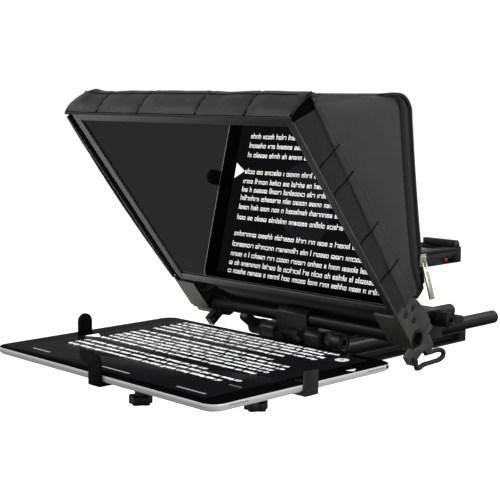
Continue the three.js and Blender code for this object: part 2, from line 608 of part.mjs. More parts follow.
function slidingPlate() {
  const { bottom, top, front } = PLATFORM;
  const outline = [[-27.2, bottom + 7.8], [27.2, bottom + 7.8], [27.2, bottom + 11.3], [25.2, bottom + 11.3],
    [25.2, top - 1.5], [-25.2, top - 1.5], [-25.2, bottom + 11.3], [-27.2, bottom + 11.3]];
  const shape = new THREE.Shape(outline.map(([x, z]) => new THREE.Vector2(x, z)));
  const plate = new THREE.ExtrudeGeometry(shape, { depth: 70, bevelEnabled: false }).rotateX(Math.PI / 2)
    .translate(0, front + 80, 0);
  const slot = join(box(-3.3, 3.3, 25, 59, bottom, top + 1), rod('z', 3.3, bottom, top + 1, 0, 25, 20),
    rod('z', 3.3, bottom, top + 1, 0, 59, 20));
  const headSlot = box(-8, 8, 15, 69, bottom, bottom + 11);
  return cut(plate, slot, headSlot);
}

function cameraScrew() {
  const { bottom, top } = PLATFORM;
  const head = rod('z', 7.5, bottom + 8.1, bottom + 10.6, 0, 42, 28);
  return join(head, rod('z', 3.1, bottom + 10, top + 4, 0, 42, 20));
}

function lockLever() {
  const { top, rear } = PLATFORM;
  const z0 = top + GAP;
  const arm = roundedPlate(-10, 36, rear - 11, rear - 3, z0, z0 + 6.6, 3.5);
  const boss = rod('z', 6, z0, z0 + 4.5, ...LOCK_PIVOT, 28);
  const pin = rod('z', 1.9, top - 7.5, z0 + 1, ...LOCK_PIVOT, 16);
  return join(arm, boss, pin);
}

function safetyButton() {
  const face = PLATFORM.half + 2;
  const stem = rod('x', 2.2, 31.5, face, ...BUTTON, 20);
  return join(stem, rod('x', 2.2, face, face + 0.8, ...BUTTON, 20, 1.2));
}

add('rear_rod_clamp', rearClamp(), anodised);
add('riser', riser(), anodised);
add('platform', platformBody(), anodised);
add('sliding_plate', slidingPlate(), steel);
add('camera_screw', cameraScrew(), steel);
add('lock_lever', lockLever(), blackPlastic);
add('safety_button', safetyButton(), redPlastic);
add('rear_lever_right', ratchetLever(REAR_CLAMP_Y, -4), blackPlastic);
add('rear_lever_left', mirrored(ratchetLever(REAR_CLAMP_Y, -70)), blackPlastic);

export default model;
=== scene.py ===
"""Looks for the tablet teleprompter: fabric hood, dark metals and plastics, lit prompt and mirror glass."""

import math
import random

import bpy
from mathutils import Matrix, Vector, noise


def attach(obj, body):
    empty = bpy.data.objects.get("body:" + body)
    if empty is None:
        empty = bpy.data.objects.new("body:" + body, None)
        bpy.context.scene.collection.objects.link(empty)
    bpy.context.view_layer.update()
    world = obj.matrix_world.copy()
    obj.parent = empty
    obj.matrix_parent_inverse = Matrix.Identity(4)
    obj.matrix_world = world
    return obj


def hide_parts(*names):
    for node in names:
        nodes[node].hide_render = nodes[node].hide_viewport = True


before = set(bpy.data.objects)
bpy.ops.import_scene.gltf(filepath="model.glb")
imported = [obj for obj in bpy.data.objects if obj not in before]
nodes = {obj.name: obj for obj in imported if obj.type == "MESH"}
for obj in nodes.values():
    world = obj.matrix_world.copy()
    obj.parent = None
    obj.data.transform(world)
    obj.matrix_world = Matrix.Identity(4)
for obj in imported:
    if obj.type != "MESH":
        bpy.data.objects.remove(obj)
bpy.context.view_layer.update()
scene = bpy.context.scene

MM = 0.001
LEAN = math.radians(38.3)  # the glass leans this far from upright, over the tablet
FRONT_AXIS = Vector((0, -math.cos(LEAN), -math.sin(LEAN)))  # out of the glass's front face
UP_AXIS = Vector((0, -math.sin(LEAN), math.cos(LEAN)))  # up along the glass
FOOT = (-142.7, 78.4)  # y, z of the foot of the glass frame's front face
HOOD_SIDE = 149.4  # x of the hood's outer faces
SIDES = ((1, "right"), (-1, "left"))
LENS_Z, LENS_RADIUS = 166.0, 50.0


# ---------- camera ----------


def make_camera():
    yaw, pitch, roll = (math.radians(degrees) for degrees in (45.51, 7.37, 0.34))
    place = (0.803, -0.971, 0.272)
    forward = Vector((-math.sin(yaw) * math.cos(pitch), math.cos(yaw) * math.cos(pitch), -math.sin(pitch)))
    right = Vector((math.cos(yaw), math.sin(yaw), 0))
    up = right.cross(forward)
    right_rolled = math.cos(roll) * right + math.sin(roll) * up
    up_rolled = -math.sin(roll) * right + math.cos(roll) * up
    data = bpy.data.cameras.new("camera")
    data.sensor_width = 36
    data.lens = 86.328
    camera = bpy.data.objects.new("camera", data)
    scene.collection.objects.link(camera)
    basis = Matrix((right_rolled, up_rolled, -forward)).transposed()
    camera.matrix_world = Matrix.Translation(place) @ basis.to_4x4()
    scene.camera = camera


make_camera()


# ---------- material building blocks ----------


class Recipe:
    """A Principled material and short ways to add nodes to it."""

    def __init__(self, name, color, roughness, metallic=0.0, **sockets):
        self.material = bpy.data.materials.new(name)
        self.material.use_nodes = True
        self.tree = self.material.node_tree
        self.shader = self.tree.nodes["Principled BSDF"]
        self.color = color
        self.shader.inputs["Base Color"].default_value = (*color, 1)
        self.shader.inputs["Roughness"].default_value = roughness
        self.shader.inputs["Metallic"].default_value = metallic
        for key, value in sockets.items():
            self.shader.inputs[key.replace("_", " ")].default_value = value
        self.place = self.node("ShaderNodeTexCoord").outputs["Object"]
        self.normal = None

    def node(self, kind, **settings):
        made = self.tree.nodes.new(kind)
        for key, value in settings.items():
            setattr(made, key, value)
        return made

    def link(self, source, target):
        self.tree.links.new(source, target)

    def turned(self, rotation):
        mapping = self.node("ShaderNodeMapping")
        mapping.inputs["Rotation"].default_value = rotation
        self.link(self.place, mapping.inputs["Vector"])
        return mapping.outputs[0]

    def noise(self, size_mm, detail=2.0, where=None):
        texture = self.node("ShaderNodeTexNoise")
        texture.inputs["Scale"].default_value = 1 / (size_mm * MM)
        texture.inputs["Detail"].default_value = detail
        self.link(where or self.place, texture.inputs["Vector"])
        return texture.outputs["Fac"]

    def cells(self, size_mm):
        texture = self.node("ShaderNodeTexVoronoi", feature="SMOOTH_F1")
        texture.inputs["Scale"].default_value = 1 / (size_mm * MM)
        self.link(self.place, texture.inputs["Vector"])
        return texture.outputs["Distance"]

    def ribs(self, pitch_mm, direction, where=None):
        texture = self.node("ShaderNodeTexWave", bands_direction=direction)
        texture.inputs["Scale"].default_value = 2 * math.pi / 20 / (pitch_mm * MM)
        texture.inputs["Distortion"].default_value = 0.0
        self.link(where or self.place, texture.inputs["Vector"])
        return texture.outputs["Fac"]

    def math(self, operation, a, b):
        made = self.node("ShaderNodeMath", operation=operation)
        for socket, value in zip(made.inputs, (a, b)):
            if isinstance(value, (int, float)):
                socket.default_value = value
            else:
                self.link(value, socket)
        return made.outputs[0]

    def ramp(self, source, low, high, to_low=0.0, to_high=1.0):
        made = self.node("ShaderNodeMapRange")
        self.link(source, made.inputs[0])
        for socket, value in zip(list(made.inputs)[1:5], (low, high, to_low, to_high)):
            socket.default_value = value
        return made.outputs[0]

    def tint(self, source, low, high):
        """Varies the base colour from low to high times itself where source goes from 0 to 1."""
        mix = self.node("ShaderNodeMix", data_type="RGBA")
        mix.inputs["A"].default_value = (*[c * low for c in self.color], 1)
        mix.inputs["B"].default_value = (*[c * high for c in self.color], 1)
        self.link(source, mix.inputs["Factor"])
        self.link(mix.outputs["Result"], self.shader.inputs["Base Color"])

    def rub(self, source, low, high):
        """Varies the roughness from low to high where source goes from 0.3 to 0.7."""
        self.link(self.ramp(source, 0.3, 0.7, low, high), self.shader.inputs["Roughness"])

    def bump(self, source, depth_mm, strength=1.0):
        made = self.node("ShaderNodeBump")
        made.inputs["Distance"].default_value = depth_mm * MM
        made.inputs["Strength"].default_value = strength
        self.link(source, made.inputs["Height"])
        if self.normal is not None:
            self.link(self.normal, made.inputs["Normal"])
        self.normal = made.outputs[0]
        self.link(self.normal, self.shader.inputs["Normal"])

    def surface(self, source):
        """Puts another shader in place of the Principled one."""
        self.tree.nodes.remove(self.shader)
        output = next(n for n in self.tree.nodes if n.type == "OUTPUT_MATERIAL")
        self.link(source, output.inputs["Surface"])


GLASS_AXES = (-LEAN, 0, 0)  # turns a texture to run along the leaning frame


def leatherette(name="leatherette", color=(0.038, 0.038, 0.039), sheen=0.07, **extra):
    r = Recipe(name, color, 0.46, Sheen_Weight=sheen, Sheen_Roughness=0.4, **extra)
    r.tint(r.noise(28, 3), 0.8, 1.22)
    r.rub(r.noise(9, 3), 0.42, 0.58)
    r.bump(r.noise(34, 2), 1.1, 0.5)
    r.bump(r.cells(1.3), 0.12, 0.7)
    r.bump(r.noise(0.5, 2), 0.05, 0.6)
    return r.material


def webbing():
    r = Recipe("ribbed_webbing", (0.0048, 0.0048, 0.005), 0.8, Sheen_Weight=0.06, Sheen_Roughness=0.5)
    along = r.turned(GLASS_AXES)
    ribs = r.ribs(1.55, "Z", along)
    picks = r.ribs(1.15, "Y", along)
    weave = r.math("MULTIPLY", ribs, r.ramp(picks, 0.0, 1.0, 0.55, 1.0))
    r.tint(r.math("MULTIPLY", weave, r.ramp(r.noise(11, 3), 0.25, 0.75, 0.35, 1.0)), 0.35, 3.2)
    r.bump(ribs, 0.4, 0.9)
    r.bump(picks, 0.2, 0.7)
    return r.material


def nylon(name="nylon_cloth", color=(0.010, 0.010, 0.0104), sheen=0.06, **extra):
    r = Recipe(name, color, 0.8, Sheen_Weight=sheen, Sheen_Roughness=0.5, **extra)
    warp = r.ribs(0.9, "X")
    weft = r.ribs(0.9, "Z", r.turned((math.radians(-9), 0, 0)))
    weave = r.math("MAXIMUM", warp, weft)
    r.tint(r.math("MULTIPLY", weave, r.noise(18, 3)), 0.6, 2.0)
    r.bump(r.noise(30, 2), 0.9, 0.4)
    r.bump(weave, 0.14, 0.7)
    return r.material


def anodised(name="black_anodised", color=(0.016, 0.016, 0.016), roughness=0.38):
    r = Recipe(name, color, roughness, 0.35)
    r.tint(r.noise(16, 3), 0.85, 1.18)
    r.rub(r.noise(3.5, 4), roughness - 0.07, roughness + 0.08)
    r.bump(r.noise(0.35, 2), 0.012, 0.5)
    return r.material


def rail_with_painted_light():
    """Satin black anodising with painted light: the colour is paler at the left of the frame and darker to
    the right, for the light from the lower left falling off across it.
    """
    r = Recipe("satin_black_frame_painted_light", (0.045, 0.045, 0.046), 0.34, 0.2)
    split = r.node("ShaderNodeSeparateXYZ")
    r.link(r.place, split.inputs[0])
    # painted light: the base colour runs from 1.6 times at the left end to 0.48 times at the right
    across = r.ramp(split.outputs["X"], -0.15, 0.12)
    r.tint(r.math("ADD", across, r.ramp(r.noise(12, 3), 0.3, 0.7, -0.06, 0.06)), 1.6, 0.48)
    r.rub(r.noise(3.5, 4), 0.28, 0.4)
    r.bump(r.noise(0.35, 2), 0.012, 0.5)
    return r.material


def painted_steel():
    r = Recipe("painted_steel", (0.052, 0.053, 0.048), 0.46)
    r.tint(r.noise(13, 3), 0.88, 1.15)
    r.rub(r.noise(4, 3), 0.4, 0.53)
    r.bump(r.noise(0.9, 2), 0.03, 0.6)
    return r.material


def moulded_plastic(name="moulded_plastic", color=(0.0045, 0.0045, 0.0045), roughness=0.46, **extra):
    r = Recipe(name, color, roughness, **extra)
    r.tint(r.noise(9, 2), 0.8, 1.25)
    r.rub(r.noise(2.5, 3), roughness - 0.06, roughness + 0.08)
    r.bump(r.noise(0.45, 2), 0.03, 0.6)
    return r.material


def machined_steel(name="machined_steel", color=(0.32, 0.32, 0.33), roughness=0.32, grain=1.2):
    r = Recipe(name, color, roughness, 1.0)
    r.tint(r.noise(5, 3), 0.85, 1.12)
    r.rub(r.noise(grain, 4), roughness - 0.08, roughness + 0.1)
    r.bump(r.noise(0.3, 2), 0.01, 0.4)
    return r.material


def tablet_case():
    r = Recipe("tablet_case", (0.92, 0.92, 0.925), 0.3, 0.25)
    r.tint(r.noise(0.25, 2), 0.94, 1.05)
    r.rub(r.noise(0.5, 2), 0.3, 0.37)
    r.bump(r.noise(0.2, 1), 0.004, 0.5)
    return r.material


SCREEN = {"x": (-138.4, 124.4), "y": (-352.2, -155.2)}  # the lit part of the tablet's face, mm


def tablet_screen():
    """Black glossy border, and inside it the display, whose black glows faintly."""
    r = Recipe("tablet_screen", (0.003, 0.003, 0.0033), 0.06, IOR=1.01)
    split = r.node("ShaderNodeSeparateXYZ")
    r.link(r.place, split.inputs[0])
    inside = 1.0
    for output, (low, high) in zip(split.outputs, (SCREEN["x"], SCREEN["y"])):
        above = r.math("GREATER_THAN", output, low * MM)
        below = r.math("LESS_THAN", output, high * MM)
        inside = r.math("MULTIPLY", inside, r.math("MULTIPLY", above, below))
    cloudy = r.ramp(r.noise(60, 2), 0.3, 0.7, 0.8, 1.2)
    glow = r.node("ShaderNodeMix", data_type="RGBA")
    glow.inputs["A"].default_value = (0, 0, 0, 1)
    glow.inputs["B"].default_value = (0.006, 0.006, 0.0066, 1)
    r.link(r.math("MULTIPLY", inside, cloudy), glow.inputs["Factor"])
    r.link(glow.outputs["Result"], r.shader.inputs["Emission Color"])
    r.shader.inputs["Emission Strength"].default_value = 1.0
    r.rub(r.noise(22, 3), 0.05, 0.09)
    return r.material


def lit(name, color, strength):
    r = Recipe(name, color, 0.4)
    r.shader.inputs["Emission Color"].default_value = (*color, 1)
    r.shader.inputs["Emission Strength"].default_value = strength
    return r.material


MIRROR_SHARE = 0.8
GLASS_TINT = (0.16, 0.16, 0.165, 1)


def clear_glass():
    """The uncoated faces of the glass."""
    r = Recipe("clear_glass", (0.02, 0.02, 0.022), 0.0)
    clear = r.node("ShaderNodeBsdfTransparent")
    clear.inputs["Color"].default_value = GLASS_TINT
    r.surface(clear.outputs[0])
    return r.material


def beam_glass():
    """The coated front face: half mirror, half clear tinted glass."""
    r = Recipe("beam_splitter_glass", (0.02, 0.02, 0.022), 0.0)
    mirror = r.node("ShaderNodeBsdfGlossy")
    mirror.inputs["Roughness"].default_value = 0.0
    clear = r.node("ShaderNodeBsdfTransparent")
    clear.inputs["Color"].default_value = GLASS_TINT
    mix = r.node("ShaderNodeMixShader")
    mix.inputs[0].default_value = MIRROR_SHARE
    r.link(clear.outputs[0], mix.inputs[1])
    r.link(mirror.outputs[0], mix.inputs[2])
    r.surface(mix.outputs[0])
    return r.material


LEATHER = leatherette()
# The flap is the same leatherette as the sides; its much darker copy is painted shade, holding its upward
# faces down to the sides' tone.
FLAP_SHADED_LEATHER = leatherette("flap_leatherette_painted_shade", (0.0088, 0.0088, 0.009), 0.055, IOR=1.42)
WEBBING = webbing()
NYLON = nylon()
BINDING = nylon("binding_tape", (0.028, 0.028, 0.0285))
# The piping is real; its pale colour is partly painted highlight, for the shiny line along the band's front
# edge.
PIPING_PAINTED_HIGHLIGHT = nylon("piping", (0.06, 0.06, 0.061))
LINING = nylon("gusset_cloth", (0.0125, 0.0125, 0.0121))
COIL = nylon("zip_coil", (0.011, 0.011, 0.0108))
# A darker cloth used as painted shade in the gusset's grooves and along its zip and rolled edge.
GROOVE_SHADE_CLOTH = nylon("gusset_painted_shade", (0.0045, 0.0045, 0.0044))
SHADOW_CLOTH = nylon("shadow_cloth", (0.0015, 0.0015, 0.0015), 0.0, IOR=1.1)
FLOOR_CLOTH = nylon("floor_cloth", (0.0040, 0.0034, 0.0030))
THREAD = moulded_plastic("thread", (0.05, 0.05, 0.05), 0.6)
ANODISED = anodised()
SATIN_BLACK_PAINTED_LIGHT = rail_with_painted_light()
STEEL_PAINT = painted_steel()
PLASTIC = moulded_plastic()
# The right arm's plastic is a paler copy of the arms' black plastic: painted light.
RIGHT_ARM_LIT_PLASTIC = moulded_plastic("right_arm_painted_light", (0.011, 0.011, 0.011), 0.46)
ARM_PLASTIC = moulded_plastic("arm_plastic", (0.0012, 0.0012, 0.0012), 0.6, IOR=1.2)
ROD_FINISH = anodised("rod_anodising", (0.004, 0.004, 0.004), 0.42)
RUBBER = moulded_plastic("rubber", (0.008, 0.008, 0.008), 0.6)
RED = moulded_plastic("red_plastic", (0.42, 0.012, 0.02), 0.3)
DARK_STEEL = machined_steel("dark_steel", (0.09, 0.09, 0.092), 0.38)
PLATE_STEEL = machined_steel("plate_metal", (0.45, 0.45, 0.46), 0.34)
ZIP_METAL = machined_steel("zip_metal", (0.8, 0.78, 0.7), 0.34, 6)
CASE = tablet_case()
# A near-black plastic used as painted shade: on the tablet's far edge and inside the left clamp.
PAINTED_SHADE_PLASTIC = moulded_plastic("far_edge", (0.012, 0.012, 0.012), 0.5, IOR=1.2)
BUTTON_FACE = moulded_plastic("button_face", (0.004, 0.004, 0.0042), 0.3, IOR=1.2)
SCREEN_GLASS = tablet_screen()
GLASS = beam_glass()
PROMPT = lit("prompt_white", (1.0, 1.0, 1.0), 1.12)
STATUS = lit("status_grey", (0.4, 0.4, 0.4), 0.5)
MARK = lit("status_dim", (0.2, 0.2, 0.2), 0.25)
CONTROL = lit("control_white", (0.8, 0.8, 0.8), 0.5)


# ---------- carried-over CAD nodes ----------


def dress(names, material, edge_mm=0.5):
    """Gives CAD nodes a material and rounds their hard edges a little."""
    for name in names:
        obj = nodes[name]
        obj.data.materials.clear()
        obj.data.materials.append(material)
        if not edge_mm:
            continue
        weld = obj.modifiers.new("weld", "WELD")
        weld.merge_threshold = 1e-5
        bevel = obj.modifiers.new("edges", "BEVEL")
        bevel.width = edge_mm * MM
        bevel.segments = 2
        bevel.limit_method = "ANGLE"
        bevel.angle_limit = math.radians(32)
        bevel.harden_normals = True
        bevel.use_clamp_overlap = True
        for polygon in obj.data.polygons:
            polygon.use_smooth = True


def both(*names):
    return [f"{n}_{side}" for n in names for side in ("right", "left")]


dress(["base_plate", "tube_block", "tray_clamp", "tray_plate"], ANODISED, 0.6)
dress(["rear_rod_clamp", "riser", "platform"], ANODISED, 0.6)
dress(both("front_rod_jaw"), ANODISED, 0.6)
dress(both("rod") + ["cross_tube"], ROD_FINISH, 0.3)
dress(both("frame_rail") + ["frame_rail_bottom", "frame_rail_top"], SATIN_BLACK_PAINTED_LIGHT, 0.5)
dress(both("bracket", "clamp_cap"), STEEL_PAINT, 0.4)
dress(both(*[f"bracket_screw_{i}" for i in (1, 2, 3)]), DARK_STEEL, 0.15)
dress(both("front_lever", "rear_lever") + ["tube_block_lever", "lock_lever"], PLASTIC, 0.8)
dress([f"{s}_knob" for s in ("right", "left", "front", "back")], PLASTIC, 0.5)
# The right arm is the same black plastic as the other arms; its paler copy is painted light, for the light
# from the right and the backdrop in its flat face.
dress(["right_arm"], RIGHT_ARM_LIT_PLASTIC, 0.5)
dress([f"{s}_arm" for s in ("left", "front", "back")], ARM_PLASTIC, 0.5)
dress(["sliding_plate"], PLATE_STEEL, 0.4)
dress(["camera_screw"], DARK_STEEL, 0.3)
dress(["clamp_bail"], RUBBER, 0)
dress(["zip_slider", "zip_pull"], ZIP_METAL, 0.25)
dress(["safety_button"], RED, 0.3)
dress(["tablet_shell"], CASE, 0.3)
dress(["tablet_panel"], SCREEN_GLASS, 0.15)
dress(["home_button"], BUTTON_FACE, 0.15)
dress(["beam_splitter"], GLASS, 0)


def coat_front_face(obj):
    """Leaves the mirror coating on the front face alone."""
    obj.data.materials.append(clear_glass())
    for polygon in obj.data.polygons:
        polygon.material_index = 0 if polygon.normal.dot(FRONT_AXIS) > 0.9 else 1


coat_front_face(nodes["beam_splitter"])


FAR_EDGE_X = -0.1445  # the tablet's left edge starts beyond this, m


def paint_shade_on_far_edge(obj):
    """Painted shade: the tablet's far short edge gets a dark plastic in place of the silver, for the shade
    and the reflection of the black tray arm it faces.
    """
    obj.data.materials.append(PAINTED_SHADE_PLASTIC)
    for polygon in obj.data.polygons:
        if polygon.center.x < FAR_EDGE_X and polygon.normal.x < -0.9:
            polygon.material_index = 1


paint_shade_on_far_edge(nodes["tablet_shell"])


def paint_shade_inside_clamp(obj):
    """Painted shade: inside the left clamp the faces get the near-black plastic, for the shade that falls
    there.
    """
    obj.data.materials.append(PAINTED_SHADE_PLASTIC)
    for polygon in obj.data.polygons:
        if polygon.normal.dot(FRONT_AXIS) < 0.6 and polygon.normal.x > -0.5:
            polygon.material_index = 1


paint_shade_inside_clamp(nodes["bracket_left"])
paint_shade_inside_clamp(nodes["clamp_cap_left"])


# ---------- mesh helpers ----------


def tilted(x, back, up):
    """A point in millimetres from its place on the leaning glass: across, behind the front face, up it."""
    y = FOOT[0] - up * math.sin(LEAN) + back * math.cos(LEAN)
    z = FOOT[1] + up * math.cos(LEAN) + back * math.sin(LEAN)
    return Vector((x, y, z))


def new_mesh(name, points, faces, material, smooth=True):
    """A mesh object from points in millimetres."""
    mesh = bpy.data.meshes.new(name)
    mesh.from_pydata([tuple(Vector(p) * MM) for p in points], [], faces)
    mesh.validate()
    mesh.materials.append(material)
    for polygon in mesh.polygons:
        polygon.use_smooth = smooth
    obj = bpy.data.objects.new(name, mesh)
    scene.collection.objects.link(obj)
    return obj


def grid_faces(rows, columns, close_rows=False, close_columns=False):
    faces = []
    for i in range(rows if close_rows else rows - 1):
        for j in range(columns if close_columns else columns - 1):
            a, b = i * columns + j, i * columns + (j + 1) % columns
            c, d = (i + 1) % rows * columns + (j + 1) % columns, (i + 1) % rows * columns + j
            faces.append((a, b, c, d))
    return faces


def grid_mesh(name, rows, material, **closed):
    """A surface through rows of points."""
    faces = grid_faces(len(rows), len(rows[0]), **closed)
    return new_mesh(name, [p for row in rows for p in row], faces, material)


def sheet_mesh(name, rows, material, thick_mm, offset, **closed):
    """A cloth sheet from rows of points, given a thickness."""
    obj = grid_mesh(name, rows, material, **closed)
    solid = obj.modifiers.new("thickness", "SOLIDIFY")
    solid.thickness = thick_mm * MM
    solid.offset = offset
    return obj


def apply_modifiers(obj):
    bpy.context.view_layer.update()
    evaluated = obj.evaluated_get(bpy.context.evaluated_depsgraph_get())
    made = bpy.data.meshes.new_from_object(evaluated)
    obj.modifiers.clear()
    obj.data = made
    return obj


def ring_frames(points):
    """For each point of a path, two directions across it."""
    frames = []
    side = None
    for i, point in enumerate(points):
        ahead = (points[min(i + 1, len(points) - 1)] - points[max(i - 1, 0)]).normalized()
        if side is None:
            side = ahead.orthogonal().normalized()
        side = (side - ahead * side.dot(ahead)).normalized()
        frames.append((side, ahead.cross(side)))
    return frames


def tube(name, points, radius, material, sides=8, swell=None):
    """A closed tube along points, whose radius may swell with distance along it."""
    frames = ring_frames(points)
    verts = []
    travelled = 0.0
    for i, (point, (a, b)) in enumerate(zip(points, frames)):
        if i:
            travelled += (point - points[i - 1]).length
        r = radius * (swell(travelled) if swell else 1.0)
        turns = [2 * math.pi * k / sides for k in range(sides)]
        verts += [point + r * (math.cos(turn) * a + math.sin(turn) * b) for turn in turns]
    faces = grid_faces(len(points), sides, close_columns=True)
    faces.append(tuple(reversed(range(sides))))
    faces.append(tuple(range(len(verts) - sides, len(verts))))
    return new_mesh(name, verts, faces, material)


def resample(points, step):
    """The same path with points every step millimetres."""
    made, need = [points[0].copy()], step
    for a, b in zip(points, points[1:]):
        length = (b - a).length
        while need <= length:
            made.append(a + (b - a) * (need / length))
            need += step
        need -= length
    made.append(points[-1].copy())
    return made


def stitches(name, paths, normal_of, material=None, pitch=3.4, long=2.3, wide=0.55, tall=0.35):
    """A row of short threads along each path, lying on the cloth."""
    verts, faces = [], []
    for path in paths:
        dense = resample(path, pitch)
        for a, b in zip(dense, dense[1:]):
            along = (b - a).normalized()
            up = normal_of((a + b) / 2)
            across = along.cross(up).normalized()
            middle = (a + b) / 2 + up * 0.1
            start = len(verts)
            for t, w, h in ((-1, 0.5, 0.2), (-0.6, 1, 0.9), (0.6, 1, 0.9), (1, 0.5, 0.2)):
                spot = middle + along * (t * long / 2)
                aside = across * (wide / 2 * w)
                verts += [spot - aside, spot + up * (tall * h), spot + aside, spot - up * 0.2]
            for ring in range(3):
                for k in range(4):
                    p, q = start + ring * 4 + k, start + ring * 4 + (k + 1) % 4
                    faces.append((p, q, q + 4, p + 4))
            faces.append((start, start + 3, start + 2, start + 1))
            faces.append((start + 12, start + 13, start + 14, start + 15))
    return new_mesh(name, verts, faces, material or THREAD)


def on(obj, body):
    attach(obj, body)


def on_hood(obj):
    on(obj, "hood")


def ripple(point, size, seed=0.0):
    """Smooth noise from -1 to 1 that changes over size millimetres."""
    return noise.noise(Vector(point) / size + Vector((seed, 2 * seed, 3 * seed)))


# ---------- hood: one sheet over both sides, the roof and the back ----------

CORNER_RADIUS = 19.0
ROOF_FRONT_Y = -262.0
REAR_FOOT, REAR_TOP, ROOF_Z = (-107.2, 99.0), (-131.6, 252.0), 273.8
FOOT_HEM = [(-116.0, 90.5), (-112.0, 93.5)]  # y, z of the cloth turned in under the back
BACK_STEPS, CORNER_STEPS, ROOF_STEPS = 26, 9, 16
BACK_TOP = len(FOOT_HEM) + BACK_STEPS  # the station where the back ends and the rounded corner starts
BACK_BOW = 1.6


def back_point(t):
    """y, z on the hood's back, t of the way up; it bows in a little."""
    y = REAR_FOOT[0] + (REAR_TOP[0] - REAR_FOOT[0]) * t - BACK_BOW * math.sin(math.pi * t)
    return y, REAR_FOOT[1] + (REAR_TOP[1] - REAR_FOOT[1]) * t


def rear_path():
    """The hood's outline: up its back, over the rounded corner and forward to the front of the roof."""
    points = FOOT_HEM + [back_point(i / BACK_STEPS) for i in range(BACK_STEPS + 1)]
    centre = (REAR_TOP[0] - CORNER_RADIUS, ROOF_Z - CORNER_RADIUS)
    for i in range(1, CORNER_STEPS + 1):
        angle = math.radians(8 + 82 * i / CORNER_STEPS)
        points.append((centre[0] + CORNER_RADIUS * math.cos(angle),
                       centre[1] + CORNER_RADIUS * math.sin(angle)))
    for i in range(1, ROOF_STEPS + 1):
        points.append((centre[0] + (ROOF_FRONT_Y - centre[0]) * i / ROOF_STEPS, ROOF_Z))
    return points


def outward(points, i):
    """The direction out of the hood at point i of its outline, in y and z."""
    a, b = points[max(i - 1, 0)], points[min(i + 1, len(points) - 1)]
    length = math.hypot(b[0] - a[0], b[1] - a[1])
    return ((b[1] - a[1]) / length, -(b[0] - a[0]) / length)


SEAM_BACK = 25.8
SEAM_FOOT = tilted(0, SEAM_BACK, -1)
SEAM_TOP = tilted(0, SEAM_BACK, 228)
PATH = rear_path()
TOP_Z = PATH[BACK_TOP][1]


def seam_point(i):
    """Where the side panel meets the front band, level with point i of the outline."""
    z = PATH[i][1]
    if i <= BACK_TOP:
        height = max(z, SEAM_FOOT.z + 0.5)
    else:
        height = TOP_Z + (SEAM_TOP.z - 0.2 - TOP_Z) * (i - BACK_TOP) / (len(PATH) - 1 - BACK_TOP)
    t = (height - SEAM_FOOT.z) / (SEAM_TOP.z - SEAM_FOOT.z)
    p = SEAM_FOOT.lerp(SEAM_TOP, t)
    return p.y, p.z


GUSSET = 13.6  # the strip between the side panel and the back edge, with the zip in it


def gusset_width(i):
    """The zip's gusset is widest down the back and runs out on the roof."""
    if i <= BACK_TOP:
        return GUSSET if i > 3 else 7 + 2 * i
    return max(0.8, GUSSET * (1 - min(1.0, max(0, i - 31) / 10.5) ** 1.3))


ROLL = 1.8  # the cloth turns over each long edge on this radius


def gusset_height(inset):
    """How far the gusset stands out, inset millimetres from the back edge.

    From the edge inwards it has the zip, a groove, the ribbed strip and a second groove.
    """
    groove = 1.5 * math.exp(-((inset - 4.3) / 0.9) ** 2) + 1.3 * math.exp(-((inset - 12.8) / 0.8) ** 2)
    crown = 1.0 * math.exp(-((inset - 8.4) / 2.6) ** 4)
    return 0.3 + crown - groove


PANEL_COLUMNS, GUSSET_COLUMNS, ROLL_COLUMNS = 20, 24, 5  # faces across each part of a side


def side_profile(i):
    """Points of one side at station i, from the front seam to the rolled edge.

    Each is its distance out of the side, then y and z.
    """
    r, f = Vector(PATH[i]), Vector(seam_point(i))
    out = Vector(outward(PATH, i))
    edge = r - out * ROLL
    span = (edge - f).length
    width = min(gusset_width(i), span * 0.45)
    seam = edge + (f - edge) * (width / max(span, 1e-6))
    up = i / (len(PATH) - 1)
    made = []
    for k in range(PANEL_COLUMNS + 1):
        t = k / PANEL_COLUMNS
        p = f.lerp(seam, t)
        puff = 1.5 * math.sin(math.pi * t) ** 0.7 * math.sin(math.pi * min(1, up * 1.25)) ** 0.8
        puff += 0.9 * ripple((0, p.x, p.y), 46, 3.1) * math.sin(math.pi * t)
        groove = 0.9 * math.exp(-((1 - t) * (seam - f).length / 1.2) ** 2)
        made.append((puff - groove, p.x, p.y))
    for k in range(1, GUSSET_COLUMNS + 1):
        t = k / GUSSET_COLUMNS
        p = seam.lerp(edge, t)
        made.append((gusset_height(ROLL + (GUSSET - ROLL) * (1 - t)) * min(1, width / 8), p.x, p.y))
    for k in range(1, ROLL_COLUMNS + 1):
        a = math.radians(90 * k / ROLL_COLUMNS)
        p = edge + out * (ROLL * math.sin(a))
        made.append((-ROLL * (1 - math.cos(a)), p.x, p.y))
    return made


